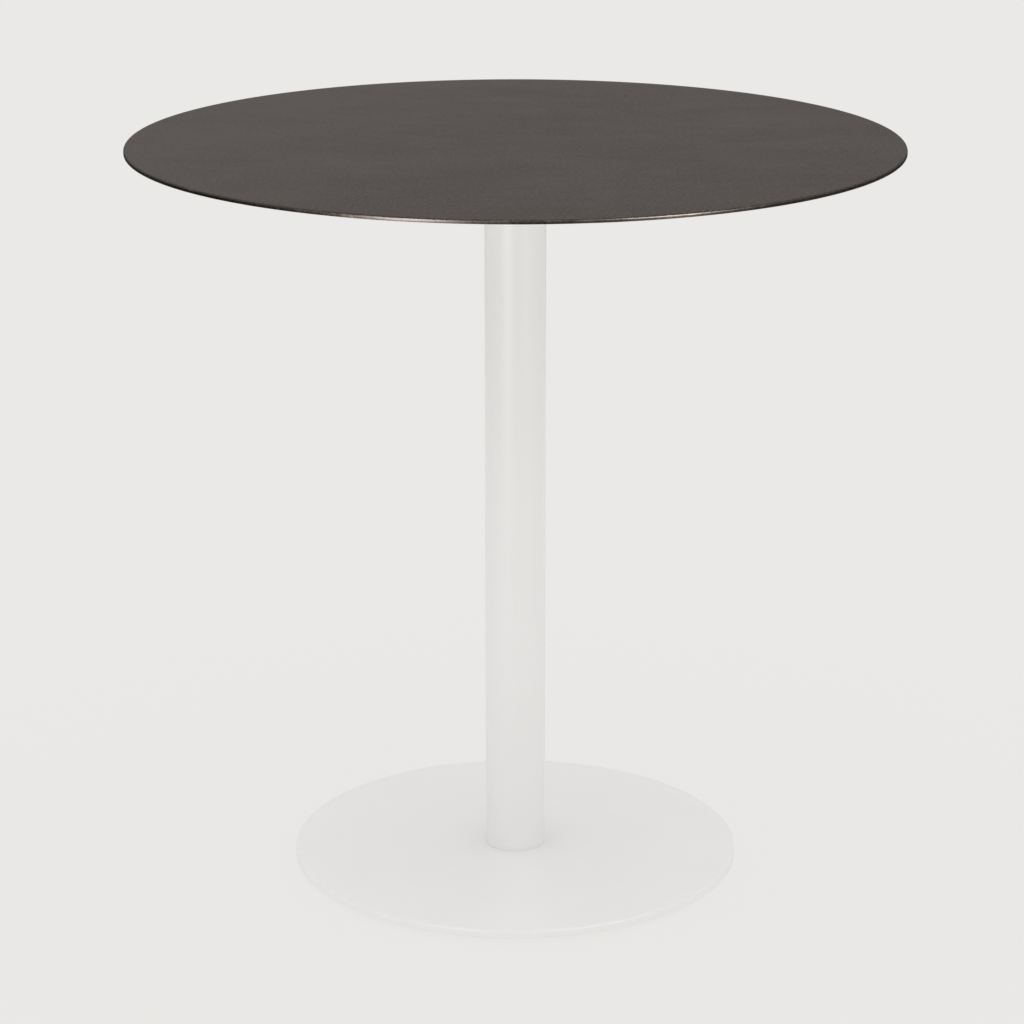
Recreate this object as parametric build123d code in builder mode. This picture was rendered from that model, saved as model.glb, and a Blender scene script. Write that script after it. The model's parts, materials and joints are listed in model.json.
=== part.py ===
"""Round bistro table: a thin metal-clad top on a single tube column and a flat steel disc base.

The top is a spun metal skin, turned down at the rim over a board core whose underside is bevelled
to a thin edge.  A round mounting plate is screwed to the core.  One tie rod runs down the column
from the plate's hub and is drawn up by a nut in the underside of the base disc, which stands on
four screw-adjustable feet.

Millimetres, +Z up.  The origin is on the floor, on the column's axis.
"""

import os
from math import cos, radians, sin, sqrt, tan

from build123d import *

# ---------------------------------------------------------------- driving dimensions
TABLE_HEIGHT = 740.0
TOP_DIAMETER = 750.0
BASE_DIAMETER = 450.0
BASE_THICKNESS = 8.0
COLUMN_DIAMETER = 60.0
COLUMN_WALL = 2.0
FLOOR_GAP = 6.0  # underside of the base disc to the floor, feet screwed right in

# ---------------------------------------------------------------- top
SKIN_THICKNESS = 1.5
RIM_HEIGHT = 4.0
RIM_BEND = 2.0  # outside radius where the skin turns down
RIM_LIP_ROUND = 0.3
CORE_CLEARANCE = 0.1
CORE_THICKNESS = 16.0
CORE_FLAT_DIAMETER = 600.0  # flat underside inside the bevel
BACKING_THICKNESS = 0.8
BACKING_MARGIN = 1.0

# ---------------------------------------------------------------- mounting plate and its fixings
PLATE_DIAMETER = 300.0
PLATE_THICKNESS = 5.0
PLATE_CHAMFER = 1.0
FIXING_COUNT = 6
FIXING_CIRCLE = 250.0  # diameter
FIXING_HOLE = 7.0
SCREW_DIAMETER = 6.0  # M6 x 16 button head
SCREW_LENGTH = 16.0
SCREW_HEAD_DIAMETER = 10.5
SCREW_HEAD_HEIGHT = 3.3
SCREW_HEAD_ROUND = 2.4
SCREW_SOCKET_FLATS = 4.0
SCREW_SOCKET_DEPTH = 2.1
WASHER_DIAMETER = 12.0
WASHER_HOLE = 6.4
WASHER_THICKNESS = 1.6
INSERT_DIAMETER = 12.0
INSERT_LENGTH = 12.0
INSERT_THREAD_PITCH = 2.4
INSERT_THREAD_DEPTH = 0.9
INSERT_END_ROOM = 1.0

# ---------------------------------------------------------------- hubs and tie rod
HUB_CLEARANCE = 0.2  # radial, inside the tube
UPPER_HUB_HEIGHT = 16.0
LOWER_HUB_HEIGHT = 12.0
HUB_LEAD_IN = 1.0
SPIGOT_DIAMETER = 20.0
SPIGOT_CLEARANCE = 0.1  # radial
SPIGOT_SET_BACK = 0.3
THREAD_CLEARANCE = 0.05  # radial, between a male thread's crests and its plain bore
ROD_DIAMETER = 10.0  # M10
ROD_SHANK_DIAMETER = 9.0
ROD_PITCH = 1.5
ROD_THREAD_DEPTH = 0.8
ROD_TOP_TURNS = 24
ROD_BOTTOM_TURNS = 20
ROD_ENGAGEMENT = 14.0  # length of rod inside the upper hub
ROD_HOLE = 10.5
ROD_NUT_FLATS = 16.0
ROD_NUT_HEIGHT = 5.0  # thin nut under the base
LOCK_NUT_HEIGHT = 8.0
ROD_WASHER_DIAMETER = 20.0
ROD_WASHER_THICKNESS = 2.0
TUBE_DEBURR = 0.3

# ---------------------------------------------------------------- base disc
BASE_TOP_ROUND = 1.5
BASE_BOTTOM_ROUND = 1.0
NUT_POCKET_DIAMETER = 30.0
NUT_POCKET_DEPTH = 4.0
HUB_SCREW_COUNT = 3
HUB_SCREW_CIRCLE = 44.0  # diameter
HUB_SCREW_DIAMETER = 5.0  # M5 x 16 countersunk
HUB_SCREW_LENGTH = 16.0
HUB_SCREW_HEAD_DIAMETER = 10.0
HUB_SCREW_HEAD_LAND = 0.3
HUB_SCREW_HOLE = 5.5
HUB_SCREW_SINK_DIAMETER = 11.2
HUB_SCREW_SET_BACK = 0.2
HUB_SCREW_SOCKET_FLATS = 3.0
HUB_SCREW_SOCKET_DEPTH = 1.8
HUB_TAPPING_ROOM = 1.0

# ---------------------------------------------------------------- feet
FOOT_COUNT = 4
FOOT_CIRCLE = 390.0  # diameter
FOOT_FIRST_ANGLE = 45.0
FOOT_PAD_DIAMETER = 32.0
FOOT_PAD_HEIGHT = 3.45
FOOT_PAD_ROUND = 0.8
FOOT_THREAD_DIAMETER = 8.0  # M8
FOOT_THREAD_PITCH = 1.25
FOOT_THREAD_DEPTH = 0.65
FOOT_THREAD_TURNS = 4
FOOT_THREAD_LENGTH = 6.2
FOOT_HOLE_DEPTH = 6.7
FOOT_HEX_FLATS = 13.0
FOOT_HEX_HEIGHT = 2.4
FOOT_HEX_GAP = 0.1  # below the base disc, screwed right in
FOOT_SPIGOT_DIAMETER = 9.0
FOOT_SPIGOT_LENGTH = 2.2
FOOT_SOCKET_DEPTH = 2.25
FOOT_SOCKET_CLEARANCE = 0.05  # radial

# ---------------------------------------------------------------- levels, worked out from the above
base_bottom = FLOOR_GAP
base_top = base_bottom + BASE_THICKNESS
skin_underside = TABLE_HEIGHT - SKIN_THICKNESS
rim_bottom = TABLE_HEIGHT - RIM_HEIGHT
core_bottom = skin_underside - CORE_THICKNESS
backing_bottom = core_bottom - BACKING_THICKNESS
plate_bottom = backing_bottom - PLATE_THICKNESS
upper_hub_bottom = plate_bottom - UPPER_HUB_HEIGHT
rod_top = upper_hub_bottom + ROD_ENGAGEMENT
washer_bottom = plate_bottom - WASHER_THICKNESS
pocket_roof = base_bottom + NUT_POCKET_DEPTH
rod_washer_bottom = pocket_roof - ROD_WASHER_THICKNESS
rod_nut_bottom = rod_washer_bottom - ROD_NUT_HEIGHT
hub_radius = COLUMN_DIAMETER / 2 - COLUMN_WALL - HUB_CLEARANCE

os.makedirs("parts", exist_ok=True)


# ---------------------------------------------------------------- shared shapes
def thread_outline(radius, depth, pitch, start, turns):
    """Points up the outside of a thread, as V-grooves, from start upwards."""
    points = []
    for turn in range(turns):
        crest = start + turn * pitch
        points.append((radius, crest))
        points.append((radius - depth, crest + pitch / 2))
    points.append((radius, start + turns * pitch))
    return points


def hexagon(bottom, height, flats, bore_radius=0.0):
    """A nut or a plain hexagon on the Z axis, its corners chamfered at 30 degrees at both ends."""
    inner = flats / 2
    corner = flats / sqrt(3)
    drop = (corner - inner) * tan(radians(30))
    top = bottom + height
    with BuildPart() as body:
        with BuildSketch(Plane.XY.offset(bottom)):
            RegularPolygon(inner, 6, major_radius=False)
            if bore_radius > 0:
                Circle(bore_radius, mode=Mode.SUBTRACT)
        extrude(amount=height)
        with BuildSketch(Plane.XZ):
            with BuildLine():
                Polyline(
                    (0, bottom),
                    (inner, bottom),
                    (corner, bottom + drop),
                    (corner, top - drop),
                    (inner, top),
                    (0, top),
                    close=True,
                )
            make_face()
        revolve(axis=Axis.Z, mode=Mode.INTERSECT)
    return body


# ---------------------------------------------------------------- top_skin: spun sheet metal
with BuildPart() as top_skin:
    outer = TOP_DIAMETER / 2
    inner = outer - SKIN_THICKNESS
    with BuildSketch(Plane.XZ) as skin_section:
        with BuildLine():
            Polyline(
                (0, TABLE_HEIGHT),
                (outer, TABLE_HEIGHT),
                (outer, rim_bottom),
                (inner, rim_bottom),
                (inner, skin_underside),
                (0, skin_underside),
                close=True,
            )
        make_face()
        corners = skin_section.vertices()
        rim_corners = corners.group_by(Axis.X)[-1].sort_by(Axis.Y)
        lip_inner = corners.group_by(Axis.X)[1].sort_by(Axis.Y)
        fillet(rim_corners[-1], radius=RIM_BEND)
        fillet(lip_inner[-1], radius=RIM_BEND - SKIN_THICKNESS)
        lips = skin_section.vertices().group_by(Axis.Y)[0]
        fillet(lips, radius=RIM_LIP_ROUND)
    revolve(axis=Axis.Z)
top_skin.part.label = "top_skin"
export_step(top_skin.part, "parts/top_skin.step")

# ---------------------------------------------------------------- top_core: bevelled board
with BuildPart() as top_core:
    core_radius = TOP_DIAMETER / 2 - SKIN_THICKNESS - CORE_CLEARANCE
    with BuildSketch(Plane.XZ) as core_section:
        with BuildLine():
            Polyline(
                (0, skin_underside),
                (core_radius, skin_underside),
                (core_radius, rim_bottom),
                (CORE_FLAT_DIAMETER / 2, core_bottom),
                (0, core_bottom),
                close=True,
            )
        make_face()
        shoulder = core_section.vertices().group_by(Axis.X)[-1].sort_by(Axis.Y)[-1]
        fillet(shoulder, radius=RIM_BEND - SKIN_THICKNESS + CORE_CLEARANCE)
    revolve(axis=Axis.Z)
    with BuildSketch(Plane.XY.offset(core_bottom)):
        with PolarLocations(FIXING_CIRCLE / 2, FIXING_COUNT):
            Circle(INSERT_DIAMETER / 2)
    extrude(amount=INSERT_LENGTH + INSERT_END_ROOM, mode=Mode.SUBTRACT)
top_core.part.label = "top_core"
export_step(top_core.part, "parts/top_core.step")

# ---------------------------------------------------------------- backing_sheet: balancing laminate
with BuildPart() as backing_sheet:
    with BuildSketch(Plane.XY.offset(backing_bottom)):
        Circle(CORE_FLAT_DIAMETER / 2 - BACKING_MARGIN)
        with PolarLocations(FIXING_CIRCLE / 2, FIXING_COUNT):
            Circle(INSERT_DIAMETER / 2, mode=Mode.SUBTRACT)
    extrude(amount=BACKING_THICKNESS)
backing_sheet.part.label = "backing_sheet"
export_step(backing_sheet.part, "parts/backing_sheet.step")

# ---------------------------------------------------------------- insert_nuts: M6 inserts in the core
with BuildPart() as one_insert:
    insert_turns = int(INSERT_LENGTH / INSERT_THREAD_PITCH)
    bore = SCREW_DIAMETER / 2 + THREAD_CLEARANCE
    with BuildSketch(Plane.XZ):
        with BuildLine():
            Polyline(
                (bore, core_bottom),
                *thread_outline(
                    INSERT_DIAMETER / 2 - THREAD_CLEARANCE,
                    INSERT_THREAD_DEPTH,
                    INSERT_THREAD_PITCH,
                    core_bottom,
                    insert_turns,
                ),
                (bore, core_bottom + insert_turns * INSERT_THREAD_PITCH),
                close=True,
            )
        make_face()
    revolve(axis=Axis.Z)
with BuildPart() as insert_nuts:
    with PolarLocations(FIXING_CIRCLE / 2, FIXING_COUNT):
        add(one_insert.part)
insert_nuts.part.label = "insert_nuts"
export_step(insert_nuts.part, "parts/insert_nuts.step")

# ---------------------------------------------------------------- mounting_plate
with BuildPart() as mounting_plate:
    with BuildSketch(Plane.XY.offset(plate_bottom)):
        Circle(PLATE_DIAMETER / 2)
        Circle(SPIGOT_DIAMETER / 2 + SPIGOT_CLEARANCE, mode=Mode.SUBTRACT)
        with PolarLocations(FIXING_CIRCLE / 2, FIXING_COUNT):
            Circle(FIXING_HOLE / 2, mode=Mode.SUBTRACT)
    extrude(amount=PLATE_THICKNESS)
    rim_edges = mounting_plate.edges().filter_by(GeomType.CIRCLE).group_by(SortBy.RADIUS)[-1]
    chamfer(rim_edges, length=PLATE_CHAMFER)
mounting_plate.part.label = "mounting_plate"
export_step(mounting_plate.part, "parts/mounting_plate.step")

# ---------------------------------------------------------------- mounting_washers
with BuildPart() as mounting_washers:
    with BuildSketch(Plane.XY.offset(washer_bottom)):
        with PolarLocations(FIXING_CIRCLE / 2, FIXING_COUNT):
            Circle(WASHER_DIAMETER / 2)
            Circle(WASHER_HOLE / 2, mode=Mode.SUBTRACT)
    extrude(amount=WASHER_THICKNESS)
mounting_washers.part.label = "mounting_washers"
export_step(mounting_washers.part, "parts/mounting_washers.step")

# ---------------------------------------------------------------- mounting_screws: button heads
with BuildPart() as mounting_screws:
    head_bottom = washer_bottom - SCREW_HEAD_HEIGHT
    with BuildSketch(Plane.XY.offset(head_bottom)):
        with PolarLocations(FIXING_CIRCLE / 2, FIXING_COUNT):
            Circle(SCREW_HEAD_DIAMETER / 2)
    extrude(amount=SCREW_HEAD_HEIGHT)
    fillet(mounting_screws.edges().group_by(Axis.Z)[0], radius=SCREW_HEAD_ROUND)
    with BuildSketch(Plane.XY.offset(washer_bottom)):
        with PolarLocations(FIXING_CIRCLE / 2, FIXING_COUNT):
            Circle(SCREW_DIAMETER / 2)
    extrude(amount=SCREW_LENGTH)
    with BuildSketch(Plane.XY.offset(head_bottom)):
        with PolarLocations(FIXING_CIRCLE / 2, FIXING_COUNT):
            RegularPolygon(SCREW_SOCKET_FLATS / 2, 6, major_radius=False)
    extrude(amount=SCREW_SOCKET_DEPTH, mode=Mode.SUBTRACT)
mounting_screws.part.label = "mounting_screws"
export_step(mounting_screws.part, "parts/mounting_screws.step")

# ---------------------------------------------------------------- upper_hub: turned, welded to the plate
with BuildPart() as upper_hub:
    with BuildSketch(Plane.XY.offset(upper_hub_bottom)):
        Circle(hub_radius)
    extrude(amount=UPPER_HUB_HEIGHT)
    chamfer(upper_hub.edges().group_by(Axis.Z)[0], length=HUB_LEAD_IN)
    with BuildSketch(Plane.XY.offset(plate_bottom)):
        Circle(SPIGOT_DIAMETER / 2)
    extrude(amount=PLATE_THICKNESS - SPIGOT_SET_BACK)
    with BuildSketch(Plane.XY.offset(upper_hub_bottom)):
        Circle(ROD_DIAMETER / 2 + THREAD_CLEARANCE)
    extrude(amount=UPPER_HUB_HEIGHT, mode=Mode.SUBTRACT)
upper_hub.part.label = "upper_hub"
export_step(upper_hub.part, "parts/upper_hub.step")

# ---------------------------------------------------------------- column_tube
with BuildPart() as column_tube:
    with BuildSketch(Plane.XY.offset(base_top)):
        Circle(COLUMN_DIAMETER / 2)
        Circle(COLUMN_DIAMETER / 2 - COLUMN_WALL, mode=Mode.SUBTRACT)
    extrude(amount=plate_bottom - base_top)
    chamfer(column_tube.edges().filter_by(GeomType.CIRCLE), length=TUBE_DEBURR)
column_tube.part.label = "column_tube"
export_step(column_tube.part, "parts/column_tube.step")

# ---------------------------------------------------------------- tie_rod: threaded at both ends
with BuildPart() as tie_rod:
    crest = ROD_DIAMETER / 2
    top_thread_start = rod_top - ROD_TOP_TURNS * ROD_PITCH
    bottom_thread_end = rod_nut_bottom + ROD_BOTTOM_TURNS * ROD_PITCH
    shank = ROD_SHANK_DIAMETER / 2
    with BuildSketch(Plane.XZ):
        with BuildLine():
            Polyline(
                (0, rod_nut_bottom),
                *thread_outline(crest, ROD_THREAD_DEPTH, ROD_PITCH, rod_nut_bottom, ROD_BOTTOM_TURNS),
                (shank, bottom_thread_end),
                (shank, top_thread_start),
                *thread_outline(crest, ROD_THREAD_DEPTH, ROD_PITCH, top_thread_start, ROD_TOP_TURNS),
                (0, rod_top),
                close=True,
            )
        make_face()
    revolve(axis=Axis.Z)
    chamfer(tie_rod.edges().filter_by(GeomType.CIRCLE).sort_by(Axis.Z)[0], length=ROD_THREAD_DEPTH / 2)
tie_rod.part.label = "tie_rod"
export_step(tie_rod.part, "parts/tie_rod.step")

# ---------------------------------------------------------------- tie_rod_lock_nut, under the upper hub
tie_rod_lock_nut = hexagon(
    upper_hub_bottom - LOCK_NUT_HEIGHT,
    LOCK_NUT_HEIGHT,
    ROD_NUT_FLATS,
    ROD_DIAMETER / 2 + THREAD_CLEARANCE,
)
tie_rod_lock_nut.part.label = "tie_rod_lock_nut"
export_step(tie_rod_lock_nut.part, "parts/tie_rod_lock_nut.step")

# ---------------------------------------------------------------- lower_hub: centres the column's foot
with BuildPart() as lower_hub:
    with BuildSketch(Plane.XY.offset(base_top)):
        Circle(hub_radius)
        Circle(ROD_HOLE / 2, mode=Mode.SUBTRACT)
    extrude(amount=LOWER_HUB_HEIGHT)
    lead_in = lower_hub.edges().group_by(Axis.Z)[-1].sort_by(SortBy.RADIUS)[-1]
    chamfer(lead_in, length=HUB_LEAD_IN)
    tapping_depth = HUB_SCREW_LENGTH + HUB_SCREW_SET_BACK + HUB_TAPPING_ROOM - BASE_THICKNESS
    with BuildSketch(Plane.XY.offset(base_top)):
        with PolarLocations(HUB_SCREW_CIRCLE / 2, HUB_SCREW_COUNT):
            Circle(HUB_SCREW_DIAMETER / 2 + THREAD_CLEARANCE)
    extrude(amount=tapping_depth, mode=Mode.SUBTRACT)
lower_hub.part.label = "lower_hub"
export_step(lower_hub.part, "parts/lower_hub.step")

# ---------------------------------------------------------------- base_disc: flat steel plate
with BuildPart() as base_disc:
    with BuildSketch(Plane.XY.offset(base_bottom)):
        Circle(BASE_DIAMETER / 2)
    extrude(amount=BASE_THICKNESS)
    fillet(base_disc.edges().group_by(Axis.Z)[-1], radius=BASE_TOP_ROUND)
    fillet(base_disc.edges().group_by(Axis.Z)[0], radius=BASE_BOTTOM_ROUND)
    underside = Plane(origin=(0, 0, base_bottom), x_dir=(1, 0, 0), z_dir=(0, 0, -1))
    with Locations(underside):
        CounterBoreHole(ROD_HOLE / 2, NUT_POCKET_DIAMETER / 2, NUT_POCKET_DEPTH, BASE_THICKNESS)
        with PolarLocations(HUB_SCREW_CIRCLE / 2, HUB_SCREW_COUNT):
            CounterSinkHole(HUB_SCREW_HOLE / 2, HUB_SCREW_SINK_DIAMETER / 2, BASE_THICKNESS, 90)
        with PolarLocations(FOOT_CIRCLE / 2, FOOT_COUNT, start_angle=FOOT_FIRST_ANGLE):
            Hole(FOOT_THREAD_DIAMETER / 2 + THREAD_CLEARANCE, FOOT_HOLE_DEPTH)
base_disc.part.label = "base_disc"
export_step(base_disc.part, "parts/base_disc.step")

# ---------------------------------------------------------------- hub_screws: countersunk, from below
with BuildPart() as one_hub_screw:
    face = base_bottom + HUB_SCREW_SET_BACK
    head = HUB_SCREW_HEAD_DIAMETER / 2
    stem = HUB_SCREW_DIAMETER / 2
    cone_end = face + HUB_SCREW_HEAD_LAND + head - stem
    with BuildSketch(Plane.XZ):
        with BuildLine():
            Polyline(
                (0, face),
                (head, face),
                (head, face + HUB_SCREW_HEAD_LAND),
                (stem, cone_end),
                (stem, face + HUB_SCREW_LENGTH),
                (0, face + HUB_SCREW_LENGTH),
                close=True,
            )
        make_face()
    revolve(axis=Axis.Z)
    with BuildSketch(Plane.XY.offset(face)):
        RegularPolygon(HUB_SCREW_SOCKET_FLATS / 2, 6, major_radius=False)
    extrude(amount=HUB_SCREW_SOCKET_DEPTH, mode=Mode.SUBTRACT)
with BuildPart() as hub_screws:
    with PolarLocations(HUB_SCREW_CIRCLE / 2, HUB_SCREW_COUNT):
        add(one_hub_screw.part)
hub_screws.part.label = "hub_screws"
export_step(hub_screws.part, "parts/hub_screws.step")

# ---------------------------------------------------------------- tie_rod_washer and tie_rod_nut
with BuildPart() as tie_rod_washer:
    with BuildSketch(Plane.XY.offset(rod_washer_bottom)):
        Circle(ROD_WASHER_DIAMETER / 2)
        Circle(ROD_HOLE / 2, mode=Mode.SUBTRACT)
    extrude(amount=ROD_WASHER_THICKNESS)
tie_rod_washer.part.label = "tie_rod_washer"
export_step(tie_rod_washer.part, "parts/tie_rod_washer.step")

tie_rod_nut = hexagon(
    rod_nut_bottom,
    ROD_NUT_HEIGHT,
    ROD_NUT_FLATS,
    ROD_DIAMETER / 2 + THREAD_CLEARANCE,
)
tie_rod_nut.part.label = "tie_rod_nut"
export_step(tie_rod_nut.part, "parts/tie_rod_nut.step")


# ---------------------------------------------------------------- feet: a turning screw in a sliding pad
def foot_places():
    """The number of each foot and the point on the floor under its axis."""
    for index in range(FOOT_COUNT):
        angle = radians(FOOT_FIRST_ANGLE + index * 360 / FOOT_COUNT)
        radius = FOOT_CIRCLE / 2
        yield index + 1, (radius * cos(angle), radius * sin(angle), 0)


with BuildPart() as foot_pad:
    with BuildSketch(Plane.XY):
        Circle(FOOT_PAD_DIAMETER / 2)
    extrude(amount=FOOT_PAD_HEIGHT)
    fillet(foot_pad.edges().filter_by(GeomType.CIRCLE), radius=FOOT_PAD_ROUND)
    with BuildSketch(Plane.XY.offset(FOOT_PAD_HEIGHT)):
        Circle(FOOT_SPIGOT_DIAMETER / 2 + FOOT_SOCKET_CLEARANCE)
    extrude(amount=-FOOT_SOCKET_DEPTH, mode=Mode.SUBTRACT)

hex_bottom = base_bottom - FOOT_HEX_GAP - FOOT_HEX_HEIGHT
hex_collar = hexagon(hex_bottom, FOOT_HEX_HEIGHT, FOOT_HEX_FLATS)
with BuildPart() as foot_screw:
    hex_top = hex_bottom + FOOT_HEX_HEIGHT
    thread_radius = FOOT_THREAD_DIAMETER / 2
    neck = thread_radius - FOOT_THREAD_DEPTH
    thread_end = base_bottom + FOOT_THREAD_LENGTH
    thread_start = thread_end - FOOT_THREAD_TURNS * FOOT_THREAD_PITCH
    with BuildSketch(Plane.XZ):
        with BuildLine():
            Polyline(
                (0, hex_bottom - FOOT_SPIGOT_LENGTH),
                (FOOT_SPIGOT_DIAMETER / 2, hex_bottom - FOOT_SPIGOT_LENGTH),
                (FOOT_SPIGOT_DIAMETER / 2, hex_bottom),
                (FOOT_SPIGOT_DIAMETER / 2, hex_top),
                (neck, hex_top),
                (neck, thread_start),
                *thread_outline(
                    thread_radius,
                    FOOT_THREAD_DEPTH,
                    FOOT_THREAD_PITCH,
                    thread_start,
                    FOOT_THREAD_TURNS,
                ),
                (0, thread_end),
                close=True,
            )
        make_face()
    revolve(axis=Axis.Z)
    add(hex_collar.part)

for number, place in foot_places():
    with BuildPart() as placed_pad:
        with Locations(place):
            add(foot_pad.part)
    placed_pad.part.label = f"foot_pad_{number}"
    export_step(placed_pad.part, f"parts/foot_pad_{number}.step")

    with BuildPart() as placed_screw:
        with Locations(place):
            add(foot_screw.part)
    placed_screw.part.label = f"foot_screw_{number}"
    export_step(placed_screw.part, f"parts/foot_screw_{number}.step")
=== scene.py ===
"""Looks of a round bistro table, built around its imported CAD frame.

The broad surfaces are turned again here at a finer resolution, in the same places and with the same
sections as their CAD nodes: the metal skin, the board core, its backing, the mounting plate, the
column and the base disc.  Fasteners and feet keep their CAD meshes.  Every piece has a procedural
material.  Metres, +Z up, with the origin on the floor under the column.
"""

import json
import math

import bmesh
import bpy
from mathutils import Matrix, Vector


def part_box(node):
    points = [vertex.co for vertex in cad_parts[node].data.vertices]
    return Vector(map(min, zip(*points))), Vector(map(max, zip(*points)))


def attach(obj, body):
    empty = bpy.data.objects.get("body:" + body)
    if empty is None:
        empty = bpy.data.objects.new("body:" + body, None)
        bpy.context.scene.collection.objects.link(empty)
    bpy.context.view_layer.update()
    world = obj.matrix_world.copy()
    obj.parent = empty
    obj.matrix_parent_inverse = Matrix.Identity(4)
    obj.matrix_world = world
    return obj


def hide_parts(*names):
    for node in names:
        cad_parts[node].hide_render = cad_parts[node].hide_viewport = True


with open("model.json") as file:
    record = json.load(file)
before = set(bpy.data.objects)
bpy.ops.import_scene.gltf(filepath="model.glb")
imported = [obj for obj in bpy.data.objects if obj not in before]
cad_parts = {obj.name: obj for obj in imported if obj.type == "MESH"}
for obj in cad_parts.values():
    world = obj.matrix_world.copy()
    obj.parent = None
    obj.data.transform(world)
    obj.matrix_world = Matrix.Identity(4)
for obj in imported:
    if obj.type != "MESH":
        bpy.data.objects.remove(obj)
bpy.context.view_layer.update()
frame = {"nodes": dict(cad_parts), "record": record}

MM = 0.001

# ---------------------------------------------------------------- sizes, as in the CAD
SKIN_THICKNESS = 1.5 * MM
SKIN_BEND = 2.0 * MM
SKIN_LIP_ROUND = 0.3 * MM
CORE_FLAT_RADIUS = 300.0 * MM
PLATE_EDGE = 1.0 * MM
TUBE_WALL = 2.0 * MM
TUBE_EDGE = 0.3 * MM
BASE_TOP_ROUND = 1.5 * MM
BASE_BOTTOM_ROUND = 1.0 * MM

FIXING_ANGLES = [index * 60 for index in range(6)]
FIXING_RADIUS = 125.0 * MM
PLATE_HOLE_RADIUS = 3.5 * MM
PLATE_BORE_RADIUS = 10.1 * MM
INSERT_HOLE_RADIUS = 6.0 * MM
INSERT_HOLE_DEPTH = 13.0 * MM

NUT_POCKET_RADIUS = 15.0 * MM
NUT_POCKET_DEPTH = 4.0 * MM
ROD_HOLE_RADIUS = 5.25 * MM
HUB_SCREW_ANGLES = [0, 120, 240]
HUB_SCREW_RADIUS = 22.0 * MM
HUB_SCREW_HOLE_RADIUS = 2.75 * MM
HUB_SCREW_SINK_RADIUS = 5.6 * MM
FOOT_ANGLES = [45, 135, 225, 315]
FOOT_RADIUS = 195.0 * MM
FOOT_HOLE_RADIUS = 4.05 * MM
FOOT_HOLE_DEPTH = 6.7 * MM

# ---------------------------------------------------------------- how finely the pieces are made
DISC_TURN = 512  # steps round a disc, the tube, the base's pocket and a drilled hole
TUBE_TURN = 256
POCKET_TURN = 96
DRILL_TURN = 48
ROUND_STEPS = 8  # steps along a rounded corner
ON_AXIS = 1e-9  # a smaller radius is a point on the axis
EDGE_BAND = 8.0 * MM  # an extra ring of faces on the flats beside a disc's rounded edge
OVERCUT = 1.0 * MM  # how far a cutter stands out of its piece
SMOOTH_ANGLE = 30  # degrees: edges sharper than this stay sharp


# ---------------------------------------------------------------- turned shapes
def rounded(corners):
    """A closed section from corners (r, z, radius); a corner with a radius becomes an arc."""
    points = []
    count = len(corners)
    for index, (r, z, radius) in enumerate(corners):
        here = Vector((r, z))
        if radius == 0:
            points.append(here)
            continue
        before = (Vector(corners[index - 1][:2]) - here).normalized()
        after = (Vector(corners[(index + 1) % count][:2]) - here).normalized()
        half = before.angle(after) / 2
        start = here + before * radius / math.tan(half)
        end = here + after * radius / math.tan(half)
        centre = here + (before + after).normalized() * radius / math.sin(half)
        sweep = (start - centre).angle_signed(end - centre)
        arm = start - centre
        for step in range(ROUND_STEPS + 1):
            turn = -sweep * step / ROUND_STEPS
            across = arm.x * math.cos(turn) - arm.y * math.sin(turn)
            up = arm.x * math.sin(turn) + arm.y * math.cos(turn)
            points.append(centre + Vector((across, up)))
    return points


def turned(name, section, steps=DISC_TURN, centre=(0, 0)):
    """A closed mesh: the section (r, z) turned about a vertical axis through centre."""
    mesh = bmesh.new()
    x, y = centre
    rings = []
    for r, z in section:
        if r < ON_AXIS:
            rings.append([mesh.verts.new((x, y, z))])
            continue
        ring = []
        for step in range(steps):
            angle = 2 * math.pi * step / steps
            ring.append(mesh.verts.new((x + r * math.cos(angle), y + r * math.sin(angle), z)))
        rings.append(ring)
    for index, ring in enumerate(rings):
        onward = rings[(index + 1) % len(rings)]
        if len(ring) == 1 and len(onward) == 1:
            continue
        for step in range(steps):
            follow = (step + 1) % steps
            if len(ring) == 1:
                face = (ring[0], onward[follow], onward[step])
            elif len(onward) == 1:
                face = (ring[step], ring[follow], onward[0])
            else:
                face = (ring[step], ring[follow], onward[follow], onward[step])
            mesh.faces.new(face)
    bmesh.ops.recalc_face_normals(mesh, faces=mesh.faces)
    data = bpy.data.meshes.new(name)
    mesh.to_mesh(data)
    mesh.free()
    made = bpy.data.objects.new(name, data)
    bpy.context.scene.collection.objects.link(made)
    return made


def drilled(piece, cutters):
    """Takes the cutters out of the piece, and then deletes them."""
    for cutter in cutters:
        cut = piece.modifiers.new("cut", "BOOLEAN")
        cut.operation = "DIFFERENCE"
        cut.solver = "EXACT"
        cut.object = cutter
    bpy.context.view_layer.update()
    evaluated = piece.evaluated_get(bpy.context.evaluated_depsgraph_get())
    data = bpy.data.meshes.new_from_object(evaluated)
    piece.modifiers.clear()
    piece.data = data
    data.name = piece.name
    for cutter in cutters:
        bpy.data.objects.remove(cutter)


def on_circle(radius, angles):
    """Points at those angles, in degrees, on a circle about the column."""
    for angle in angles:
        turn = math.radians(angle)
        yield radius * math.cos(turn), radius * math.sin(turn)


def drill(radius, bottom, top, centre=(0, 0)):
    """A cutter for a plain hole."""
    section = [(0, bottom), (radius, bottom), (radius, top), (0, top)]
    return turned("drill", section, DRILL_TURN, centre)


def finish_piece(piece, node, body, material):
    """Shades the piece, gives it its material, and lets it stand for its CAD node."""
    piece.data.materials.clear()
    piece.data.materials.append(material)
    piece.data.shade_smooth()
    piece.data.set_sharp_from_angle(angle=math.radians(SMOOTH_ANGLE))
    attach(piece, body)
    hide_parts(node)


# ---------------------------------------------------------------- materials
MIX_FIRST, MIX_SECOND, MIX_RESULT = 6, 7, 2  # the Mix node's sockets when it mixes colours


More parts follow.
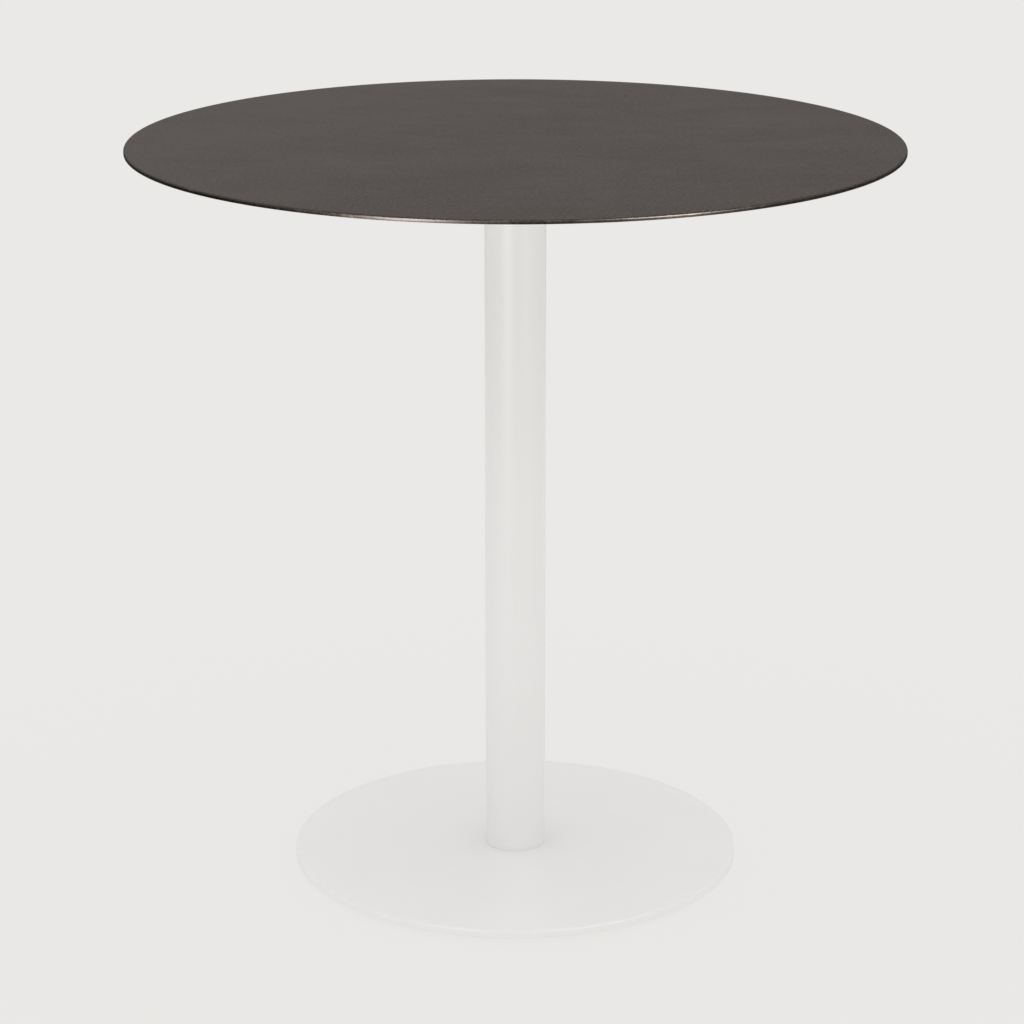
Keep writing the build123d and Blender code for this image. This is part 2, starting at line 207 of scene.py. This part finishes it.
class Nodes:
    """A material's node tree, with short calls for the nodes used here."""

    def __init__(self, name):
        self.material = bpy.data.materials.new(name)
        self.material.use_nodes = True
        self.tree = self.material.node_tree
        self.shader = self.tree.nodes["Principled BSDF"]
        coordinates = self.tree.nodes.new("ShaderNodeTexCoord")
        self.place = coordinates.outputs["Object"]

    def link(self, source, target):
        self.tree.links.new(source, target)

    def stretched(self, scale):
        """Object coordinates, in metres, scaled on each axis."""
        node = self.tree.nodes.new("ShaderNodeMapping")
        node.inputs["Scale"].default_value = scale
        self.link(self.place, node.inputs["Vector"])
        return node.outputs["Vector"]

    def noise(self, scale, detail, roughness, where=None):
        """Fractal noise about 0.5, with scale features to the metre."""
        node = self.tree.nodes.new("ShaderNodeTexNoise")
        node.inputs["Scale"].default_value = scale
        node.inputs["Detail"].default_value = detail
        node.inputs["Roughness"].default_value = roughness
        self.link(where or self.place, node.inputs["Vector"])
        return node.outputs["Fac"]

    def streaks(self, scale, detail, roughness):
        """Noise with a number of features to the metre for each axis, so it is drawn out."""
        return self.noise(1.0, detail, roughness, self.stretched(scale))

    def ranged(self, value, low, high, to_low, to_high):
        """The value's range low to high, remapped and clamped."""
        node = self.tree.nodes.new("ShaderNodeMapRange")
        node.inputs["From Min"].default_value = low
        node.inputs["From Max"].default_value = high
        node.inputs["To Min"].default_value = to_low
        node.inputs["To Max"].default_value = to_high
        self.link(value, node.inputs["Value"])
        return node.outputs["Result"]

    def math(self, operation, first, second):
        """Two values, or a value and a number, put together."""
        node = self.tree.nodes.new("ShaderNodeMath")
        node.operation = operation
        for socket, given in zip(node.inputs, (first, second)):
            if isinstance(given, (int, float)):
                socket.default_value = given
            else:
                self.link(given, socket)
        return node.outputs["Value"]

    def mixed(self, share, first, second):
        """Two colours mixed; each is a colour or a socket."""
        node = self.tree.nodes.new("ShaderNodeMix")
        node.data_type = "RGBA"
        self.link(share, node.inputs["Factor"])
        for index, given in ((MIX_FIRST, first), (MIX_SECOND, second)):
            if isinstance(given, tuple):
                node.inputs[index].default_value = (*given, 1.0)
            else:
                self.link(given, node.inputs[index])
        return node.outputs[MIX_RESULT]

    def bump(self, height, distance, after=None):
        """A bump of that height in metres; after is the bump under it."""
        node = self.tree.nodes.new("ShaderNodeBump")
        node.inputs["Distance"].default_value = distance
        node.inputs["Strength"].default_value = 1.0
        self.link(height, node.inputs["Height"])
        if after is not None:
            self.link(after, node.inputs["Normal"])
        return node.outputs["Normal"]

    def along(self, direction):
        """How far the place lies along a direction, times the direction's length."""
        node = self.tree.nodes.new("ShaderNodeVectorMath")
        node.operation = "DOT_PRODUCT"
        node.inputs[1].default_value = direction
        self.link(self.place, node.inputs[0])
        return node.outputs["Value"]

    def radius(self):
        """Distance from the column's axis, in metres."""
        node = self.tree.nodes.new("ShaderNodeSeparateXYZ")
        self.link(self.place, node.inputs["Vector"])
        squares = self.math(
            "ADD",
            self.math("MULTIPLY", node.outputs["X"], node.outputs["X"]),
            self.math("MULTIPLY", node.outputs["Y"], node.outputs["Y"]),
        )
        return self.math("SQRT", squares, 0.0)

    def set(self, **values):
        """Sockets of the shader, by name with underscores: a number, a colour or a socket."""
        for name, value in values.items():
            socket = self.shader.inputs[name.replace("_", " ")]
            if isinstance(value, bpy.types.NodeSocket):
                self.link(value, socket)
            elif isinstance(value, tuple):
                socket.default_value = (*value, 1.0)
            else:
                socket.default_value = value
        return self.material


def patinated_metal(rim_radius):
    """Dark warm-grey burnished metal: cloudy patina drawn out along X, with a painted reflection
    that lightens it towards the back left, faint brushing, a fine grain, a few dark pin spots, and
    an edge darkened by painted shade, its bend rubbed bare in places."""
    dark_patina, light_patina = (0.112, 0.0955, 0.086), (0.149, 0.128, 0.1165)
    brushed, rubbed_bare = (0.165, 0.144, 0.132), (0.240, 0.208, 0.182)
    dark_grain, light_grain = (0.066, 0.056, 0.050), (0.225, 0.197, 0.179)
    dark_spot, painted_shade_edge = (0.056, 0.047, 0.041), (0.066, 0.056, 0.049)
    painted_reflection_towards = (-0.19, 0.16, 0.0)  # painted reflection: the top lighter towards the back left, as tone gained to the metre

    nodes = Nodes("patinated_metal")
    clouds = nodes.streaks((8.0, 14.0, 14.0), 4.0, 0.6)
    drift = nodes.noise(2.3, 2.0, 0.5)
    mottle = nodes.noise(30.0, 3.0, 0.6)
    brushing = nodes.streaks((14.0, 420.0, 420.0), 3.0, 0.6)
    grain = nodes.noise(300.0, 3.0, 0.7)
    spots = nodes.noise(110.0, 0.0, 0.5)
    wear = nodes.streaks((48.0, 48.0, 260.0), 4.0, 0.7)

    def near_rim(start, end, most):
        """A share that rises to the most between two distances inside the rim."""
        return nodes.ranged(nodes.radius(), rim_radius - start, rim_radius - end, 0.0, most)

    tone = nodes.math("MULTIPLY", clouds, 0.50)
    tone = nodes.math("ADD", tone, nodes.math("MULTIPLY", drift, 0.30))
    tone = nodes.math("ADD", tone, nodes.math("MULTIPLY", mottle, 0.20))
    # painted reflection: the tone rises towards the back left, as a reflection would brighten it
    tone = nodes.math("ADD", tone, nodes.along(painted_reflection_towards))
    tone = nodes.ranged(tone, 0.35, 0.63, 0.0, 1.0)
    colour = nodes.mixed(tone, dark_patina, light_patina)
    colour = nodes.mixed(nodes.ranged(brushing, 0.35, 0.7, 0.0, 0.4), colour, brushed)
    colour = nodes.mixed(nodes.ranged(grain, 0.28, 0.5, 0.9, 0.0), colour, dark_grain)
    colour = nodes.mixed(nodes.ranged(grain, 0.5, 0.72, 0.0, 0.8), colour, light_grain)
    colour = nodes.mixed(nodes.ranged(spots, 0.835, 0.87, 0.0, 0.45), colour, dark_spot)
    # painted shade: the edge is darkened to stand for the dark surroundings its rim reflects
    colour = nodes.mixed(near_rim(1.6 * MM, 0.6 * MM, 0.65), colour, painted_shade_edge)
    bend = near_rim(1.3 * MM, 0.4 * MM, 1.0)
    bare = nodes.math("MULTIPLY", bend, nodes.ranged(wear, 0.56, 0.70, 0.0, 0.55))
    colour = nodes.mixed(bare, colour, rubbed_bare)

    grit = nodes.math("MULTIPLY", nodes.math("SUBTRACT", grain, 0.5), 0.20)
    roughness = nodes.math("ADD", nodes.ranged(tone, 0.0, 1.0, 0.46, 0.39), grit)
    roughness = nodes.math("SUBTRACT", roughness, nodes.math("MULTIPLY", bend, 0.13))
    relief = nodes.bump(brushing, 0.010 * MM)
    relief = nodes.bump(grain, 0.05 * MM, after=relief)
    return nodes.set(
        Base_Color=colour,
        Metallic=1.0,
        Roughness=roughness,
        Normal=relief,
        Specular_Tint=(0.760, 0.743, 0.740),
    )


def powder_coat():
    """Off-white satin powder coat, with its fine orange peel."""
    nodes = Nodes("powder_coat")
    peel = nodes.noise(420.0, 2.0, 0.45)
    fine = nodes.noise(1600.0, 2.0, 0.5)
    mottle = nodes.noise(9.0, 4.0, 0.55)
    tone = nodes.ranged(mottle, 0.35, 0.65, 0.0, 1.0)
    colour = nodes.mixed(tone, (0.826, 0.822, 0.812), (0.835, 0.831, 0.822))
    roughness = nodes.ranged(mottle, 0.3, 0.7, 0.46, 0.43)
    relief = nodes.bump(peel, 0.02 * MM)
    relief = nodes.bump(fine, 0.004 * MM, after=relief)
    return nodes.set(Base_Color=colour, Roughness=roughness, Normal=relief, Specular_IOR_Level=0.4)


def core_board():
    """Fibreboard, stained dark and sealed: its fibres lie flat, so they streak only faintly."""
    nodes = Nodes("core_board")
    fibres = nodes.streaks((420.0, 420.0, 1500.0), 5.0, 0.65)
    blotches = nodes.noise(28.0, 4.0, 0.6)
    tone = nodes.ranged(blotches, 0.3, 0.7, 0.0, 1.0)
    colour = nodes.mixed(tone, (0.068, 0.052, 0.043), (0.096, 0.075, 0.062))
    colour = nodes.mixed(nodes.ranged(fibres, 0.45, 0.75, 0.0, 0.5), colour, (0.150, 0.118, 0.096))
    roughness = nodes.ranged(fibres, 0.3, 0.7, 0.62, 0.5)
    return nodes.set(Base_Color=colour, Roughness=roughness, Normal=nodes.bump(fibres, 0.06 * MM))


def backing_laminate():
    """Pale grey balancing laminate with a fine pressed texture."""
    nodes = Nodes("backing_laminate")
    pressed = nodes.noise(900.0, 3.0, 0.6)
    blotches = nodes.noise(14.0, 4.0, 0.6)
    tone = nodes.ranged(blotches, 0.3, 0.7, 0.0, 1.0)
    colour = nodes.mixed(tone, (0.625, 0.615, 0.595), (0.675, 0.665, 0.645))
    roughness = nodes.ranged(pressed, 0.3, 0.7, 0.58, 0.46)
    return nodes.set(Base_Color=colour, Roughness=roughness, Normal=nodes.bump(pressed, 0.03 * MM))


def zinc_steel():
    """Bright zinc plate: a faint spangle and fine turning marks."""
    nodes = Nodes("zinc_steel")
    spangle = nodes.noise(160.0, 3.0, 0.6)
    marks = nodes.streaks((300.0, 300.0, 4200.0), 2.0, 0.5)
    tone = nodes.ranged(spangle, 0.35, 0.65, 0.0, 1.0)
    colour = nodes.mixed(tone, (0.540, 0.545, 0.545), (0.660, 0.655, 0.640))
    roughness = nodes.ranged(marks, 0.3, 0.7, 0.24, 0.36)
    relief = nodes.bump(marks, 0.008 * MM)
    return nodes.set(Base_Color=colour, Metallic=1.0, Roughness=roughness, Normal=relief)


def turned_steel():
    """Plain machined steel with rings from the tool."""
    nodes = Nodes("turned_steel")
    rings = nodes.streaks((60.0, 60.0, 5200.0), 2.0, 0.5)
    stain = nodes.noise(60.0, 3.0, 0.6)
    tone = nodes.ranged(stain, 0.35, 0.7, 0.0, 1.0)
    colour = nodes.mixed(tone, (0.430, 0.420, 0.405), (0.340, 0.325, 0.305))
    roughness = nodes.ranged(rings, 0.3, 0.7, 0.28, 0.42)
    relief = nodes.bump(rings, 0.01 * MM)
    return nodes.set(Base_Color=colour, Metallic=1.0, Roughness=roughness, Normal=relief)


def nylon():
    """Black moulded nylon with a spark-eroded grain."""
    nodes = Nodes("nylon")
    grain = nodes.noise(1300.0, 3.0, 0.6)
    scuffs = nodes.noise(110.0, 4.0, 0.65)
    tone = nodes.ranged(scuffs, 0.5, 0.75, 0.0, 1.0)
    colour = nodes.mixed(tone, (0.028, 0.028, 0.030), (0.060, 0.060, 0.062))
    roughness = nodes.ranged(grain, 0.3, 0.7, 0.60, 0.44)
    return nodes.set(Base_Color=colour, Roughness=roughness, Normal=nodes.bump(grain, 0.03 * MM))


# ---------------------------------------------------------------- the table's turned pieces
skin_low, skin_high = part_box("top_skin")
top_radius = skin_high.x
top_level = skin_high.z
rim_level = skin_low.z
skin_underside = top_level - SKIN_THICKNESS

metal = patinated_metal(top_radius)
coat = powder_coat()
board = core_board()
laminate = backing_laminate()

skin_inner = top_radius - SKIN_THICKNESS
tabletop_skin = turned(
    "tabletop_skin",
    rounded(
        [
            (0, top_level, 0),
            (top_radius - EDGE_BAND, top_level, 0),
            (top_radius, top_level, SKIN_BEND),
            (top_radius, rim_level, SKIN_LIP_ROUND),
            (skin_inner, rim_level, SKIN_LIP_ROUND),
            (skin_inner, skin_underside, SKIN_BEND - SKIN_THICKNESS),
            (0, skin_underside, 0),
        ]
    ),
)
finish_piece(tabletop_skin, "top_skin", "table", metal)

core_low, core_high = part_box("top_core")
core_radius = core_high.x
tabletop_core = turned(
    "tabletop_core",
    rounded(
        [
            (0, core_high.z, 0),
            (core_radius, core_high.z, SKIN_BEND - SKIN_THICKNESS),
            (core_radius, rim_level, 0),
            (CORE_FLAT_RADIUS, core_low.z, 0),
            (0, core_low.z, 0),
        ]
    ),
)
drilled(
    tabletop_core,
    [
        drill(INSERT_HOLE_RADIUS, core_low.z - OVERCUT, core_low.z + INSERT_HOLE_DEPTH, place)
        for place in on_circle(FIXING_RADIUS, FIXING_ANGLES)
    ],
)
finish_piece(tabletop_core, "top_core", "table", board)

backing_low, backing_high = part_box("backing_sheet")
backing = turned(
    "balancing_laminate",
    [
        (0, backing_high.z),
        (backing_high.x, backing_high.z),
        (backing_high.x, backing_low.z),
        (0, backing_low.z),
    ],
)
drilled(
    backing,
    [
        drill(INSERT_HOLE_RADIUS, backing_low.z - OVERCUT, backing_high.z + OVERCUT, place)
        for place in on_circle(FIXING_RADIUS, FIXING_ANGLES)
    ],
)
finish_piece(backing, "backing_sheet", "table", laminate)

plate_low, plate_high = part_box("mounting_plate")
plate = turned(
    "plate_under_top",
    rounded(
        [
            (0, plate_high.z, 0),
            (plate_high.x, plate_high.z, PLATE_EDGE),
            (plate_high.x, plate_low.z, PLATE_EDGE),
            (0, plate_low.z, 0),
        ]
    ),
)
drilled(
    plate,
    [drill(PLATE_BORE_RADIUS, plate_low.z - OVERCUT, plate_high.z + OVERCUT)]
    + [
        drill(PLATE_HOLE_RADIUS, plate_low.z - OVERCUT, plate_high.z + OVERCUT, place)
        for place in on_circle(FIXING_RADIUS, FIXING_ANGLES)
    ],
)
finish_piece(plate, "mounting_plate", "table", coat)

tube_low, tube_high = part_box("column_tube")
tube_radius = tube_high.x
tube_inner = tube_radius - TUBE_WALL
column = turned(
    "column",
    rounded(
        [
            (tube_inner, tube_high.z, TUBE_EDGE),
            (tube_radius, tube_high.z, TUBE_EDGE),
            (tube_radius, tube_low.z, TUBE_EDGE),
            (tube_inner, tube_low.z, TUBE_EDGE),
        ]
    ),
    TUBE_TURN,
)
finish_piece(column, "column_tube", "table", coat)

base_low, base_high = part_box("base_disc")
base_radius = base_high.x
base = turned(
    "base_plate",
    rounded(
        [
            (0, base_high.z, 0),
            (base_radius - EDGE_BAND, base_high.z, 0),
            (base_radius, base_high.z, BASE_TOP_ROUND),
            (base_radius, base_low.z, BASE_BOTTOM_ROUND),
            (base_radius - EDGE_BAND, base_low.z, 0),
            (0, base_low.z, 0),
        ]
    ),
)
sink_depth = HUB_SCREW_SINK_RADIUS - HUB_SCREW_HOLE_RADIUS  # at 45 degrees
drilled(
    base,
    [
        turned(
            "rod_hole",
            [
                (0, base_low.z - OVERCUT),
                (NUT_POCKET_RADIUS, base_low.z - OVERCUT),
                (NUT_POCKET_RADIUS, base_low.z + NUT_POCKET_DEPTH),
                (ROD_HOLE_RADIUS, base_low.z + NUT_POCKET_DEPTH),
                (ROD_HOLE_RADIUS, base_high.z + OVERCUT),
                (0, base_high.z + OVERCUT),
            ],
            POCKET_TURN,
        )
    ]
    + [
        turned(
            "countersink",
            [
                (0, base_low.z - OVERCUT),
                (HUB_SCREW_SINK_RADIUS, base_low.z - OVERCUT),
                (HUB_SCREW_SINK_RADIUS, base_low.z),
                (HUB_SCREW_HOLE_RADIUS, base_low.z + sink_depth),
                (HUB_SCREW_HOLE_RADIUS, base_high.z + OVERCUT),
                (0, base_high.z + OVERCUT),
            ],
            DRILL_TURN,
            place,
        )
        for place in on_circle(HUB_SCREW_RADIUS, HUB_SCREW_ANGLES)
    ]
    + [
        drill(FOOT_HOLE_RADIUS, base_low.z - OVERCUT, base_low.z + FOOT_HOLE_DEPTH, place)
        for place in on_circle(FOOT_RADIUS, FOOT_ANGLES)
    ],
)
finish_piece(base, "base_disc", "table", coat)

# ---------------------------------------------------------------- finishes of the CAD nodes
finishes = {
    "zinc_steel": zinc_steel(),
    "turned_steel": turned_steel(),
    "nylon": nylon(),
    "powder_coat": coat,
    "patinated_metal": metal,
    "core_board": board,
    "backing_laminate": laminate,
}
for subpart in frame["record"]["subparts"]:
    node = frame["nodes"][subpart["node"]]
    for slot in node.material_slots:
        slot.material = finishes[subpart["material_slot"]]

# ---------------------------------------------------------------- stage: pale floor and soft light
BACKDROP = (0.823, 0.815, 0.799)
FLOOR_RADIUS = 3.0
FLOOR_SIDES = 128
FLOOR_SHADOW_SHARE = 0.10
FLOOR_IRRADIANCE = 1.10  # from the dome above, on open floor

# What the table's glossy surfaces see of the floor.
NEAR_FLOOR = (0.9, 1.6)  # lit up to the first radius, and dark from the second
NEAR_FLOOR_GLOW = 0.8
FAR_FLOOR_GLOW = 0.08
BACK_FLOOR = (0.2, 1.0)  # lit again behind the table, most from the second distance
BACK_FLOOR_GLOW = 1.0
BACKWARD = (0.2, 1.0, 0.0)  # along +Y, and a little along +X

# What its matt surfaces see of it.
BOUNCE_FLOOR = (0.7, 1.5)  # weaker up to the first radius than from the second: bright upper column
NEAR_FLOOR_BOUNCE = 1.05
FAR_FLOOR_BOUNCE = 1.68
UNDER_BASE = (0.19, 0.225)  # dim up to the first radius, which the base covers
UNDER_BASE_SHARE = 0.55


def floor_material():
    """A pale floor that glows evenly for the camera, with a share of plain shading for a soft
    contact shadow.  Glossy and matt surfaces see it by the shares above, and from below it is
    clear."""
    nodes = Nodes("floor")
    tree = nodes.tree
    path = tree.nodes.new("ShaderNodeLightPath")
    glow = tree.nodes.new("ShaderNodeEmission")
    glow.inputs["Color"].default_value = (*BACKDROP, 1.0)
    mirrored = nodes.math(
        "MAXIMUM",
        nodes.ranged(nodes.radius(), *NEAR_FLOOR, NEAR_FLOOR_GLOW, FAR_FLOOR_GLOW),
        nodes.ranged(nodes.along(BACKWARD), *BACK_FLOOR, 0.0, BACK_FLOOR_GLOW),
    )
    bounced = nodes.math(
        "MULTIPLY",
        nodes.ranged(nodes.radius(), *BOUNCE_FLOOR, NEAR_FLOOR_BOUNCE, FAR_FLOOR_BOUNCE),
        nodes.ranged(nodes.radius(), *UNDER_BASE, UNDER_BASE_SHARE, 1.0),
    )
    strength = 0.0
    for ray, seen in (
        ("Is Camera Ray", 1.0 - FLOOR_SHADOW_SHARE),
        ("Is Diffuse Ray", bounced),
        ("Is Glossy Ray", mirrored),
    ):
        strength = nodes.math("ADD", nodes.math("MULTIPLY", path.outputs[ray], seen), strength)
    nodes.link(strength, glow.inputs["Strength"])
    paint = tree.nodes.new("ShaderNodeBsdfDiffuse")
    share = FLOOR_SHADOW_SHARE / FLOOR_IRRADIANCE
    paint.inputs["Color"].default_value = (*[channel * share for channel in BACKDROP], 1.0)
    both = tree.nodes.new("ShaderNodeAddShader")
    nodes.link(glow.outputs["Emission"], both.inputs[0])
    nodes.link(paint.outputs["BSDF"], both.inputs[1])
    geometry = tree.nodes.new("ShaderNodeNewGeometry")
    clear = tree.nodes.new("ShaderNodeBsdfTransparent")
    sided = tree.nodes.new("ShaderNodeMixShader")
    nodes.link(geometry.outputs["Backfacing"], sided.inputs["Fac"])
    nodes.link(both.outputs["Shader"], sided.inputs[1])
    nodes.link(clear.outputs["BSDF"], sided.inputs[2])
    nodes.link(sided.outputs["Shader"], tree.nodes["Material Output"].inputs["Surface"])
    tree.nodes.remove(nodes.shader)
    nodes.material.cycles.emission_sampling = "NONE"
    return nodes.material


bpy.ops.mesh.primitive_circle_add(vertices=FLOOR_SIDES, radius=FLOOR_RADIUS, fill_type="NGON")
floor = bpy.context.object
floor.name = "floor"
floor.data.materials.append(floor_material())

# Each stop of a sky is (height, share of the brightest), where a height of 0 is straight down, 0.5
# the horizon and 1 straight up.
DOME_COLOUR = (1.0, 0.999, 0.998)
DOME_BRIGHTEST = 1.34
DOME_STOPS = [(0.5, 0.47), (1.0, 1.0)]
STUDIO_COLOUR = (1.0, 0.99, 0.975)
STUDIO_BRIGHTEST = 0.66
STUDIO_STOPS = [(0.48, 0.11), (0.51, 0.20), (0.55, 0.56), (0.62, 0.66), (0.80, 1.0)]


def sky(tree, height, colour, brightest, stops):
    """A background whose strength follows the height of the direction."""
    ramp = tree.nodes.new("ShaderNodeValToRGB")
    ramp.color_ramp.interpolation = "LINEAR"
    elements = ramp.color_ramp.elements
    for index, (level, share) in enumerate(stops):
        stop = elements[index] if index < len(elements) else elements.new(level)
        stop.position = level
        stop.color = (share, share, share, 1.0)
    tree.links.new(height, ramp.inputs["Fac"])
    scaled = tree.nodes.new("ShaderNodeMath")
    scaled.operation = "MULTIPLY"
    scaled.inputs[1].default_value = brightest
    tree.links.new(ramp.outputs["Color"], scaled.inputs[0])
    background = tree.nodes.new("ShaderNodeBackground")
    background.inputs["Color"].default_value = (*colour, 1.0)
    tree.links.new(scaled.outputs["Value"], background.inputs["Strength"])
    return background.outputs["Background"]


def studio_world():
    """The backdrop for the camera, a dome of light for matt surfaces, and for glossy ones a studio
    that is brighter higher up."""
    world = bpy.data.worlds.new("studio")
    world.use_nodes = True
    world.cycles.sampling_method = "NONE"
    tree = world.node_tree
    path = tree.nodes.new("ShaderNodeLightPath")

    direction = tree.nodes.new("ShaderNodeTexCoord")
    split = tree.nodes.new("ShaderNodeSeparateXYZ")
    tree.links.new(direction.outputs["Generated"], split.inputs["Vector"])
    halved = tree.nodes.new("ShaderNodeMath")
    halved.operation = "MULTIPLY_ADD"
    halved.inputs[1].default_value = 0.5
    halved.inputs[2].default_value = 0.5
    tree.links.new(split.outputs["Z"], halved.inputs[0])
    height = halved.outputs["Value"]

    def for_ray(kind, seen, otherwise):
        """One shader for a kind of ray, and another for the rest."""
        choice = tree.nodes.new("ShaderNodeMixShader")
        tree.links.new(path.outputs[kind], choice.inputs["Fac"])
        tree.links.new(otherwise, choice.inputs[1])
        tree.links.new(seen, choice.inputs[2])
        return choice.outputs["Shader"]

    backdrop = tree.nodes["Background"]
    backdrop.inputs["Color"].default_value = (*BACKDROP, 1.0)
    dome = sky(tree, height, DOME_COLOUR, DOME_BRIGHTEST, DOME_STOPS)
    studio = sky(tree, height, STUDIO_COLOUR, STUDIO_BRIGHTEST, STUDIO_STOPS)
    lit = for_ray("Is Glossy Ray", studio, dome)
    seen = for_ray("Is Camera Ray", backdrop.outputs["Background"], lit)
    tree.links.new(seen, tree.nodes["World Output"].inputs["Surface"])
    return world


def softbox(name, azimuth, distance, low, high, width, power):
    """An upright area light that faces the table and lights only glossy surfaces.  Azimuth 0 is on
    the camera's side, in degrees."""
    data = bpy.data.lights.new(name, "AREA")
    data.shape = "RECTANGLE"
    data.size = width
    data.size_y = high - low
    data.energy = power
    light = bpy.data.objects.new(name, data)
    turn = math.radians(azimuth)
    light.location = (distance * math.sin(turn), -distance * math.cos(turn), (low + high) / 2)
    light.rotation_euler = (math.radians(90), 0, turn)
    light.visible_diffuse = False
    bpy.context.scene.collection.objects.link(light)


bpy.context.scene.world = studio_world()
softbox("softbox_left", azimuth=-28, distance=2.55, low=0.2, high=2.0, width=0.8, power=60)
softbox("softbox_right", azimuth=42, distance=2.55, low=0.75, high=2.1, width=0.75, power=60)

# ---------------------------------------------------------------- camera
CAMERA_DISTANCE = 3.0
CAMERA_HEIGHT = 1.28
CAMERA_PITCH = 16.93  # degrees below the horizon
CAMERA_YAW = 0.063
CAMERA_LENS = 110.57  # millimetres, as the sensor
CAMERA_SENSOR = 36.0

camera_data = bpy.data.cameras.new("camera")
camera_data.lens = CAMERA_LENS
camera_data.sensor_width = CAMERA_SENSOR
camera = bpy.data.objects.new("camera", camera_data)
camera.location = (0, -CAMERA_DISTANCE, CAMERA_HEIGHT)
camera.rotation_euler = (math.radians(90 - CAMERA_PITCH), 0, math.radians(CAMERA_YAW))
bpy.context.scene.collection.objects.link(camera)
bpy.context.scene.camera = camera
bpy.context.scene.view_settings.view_transform = "Standard"
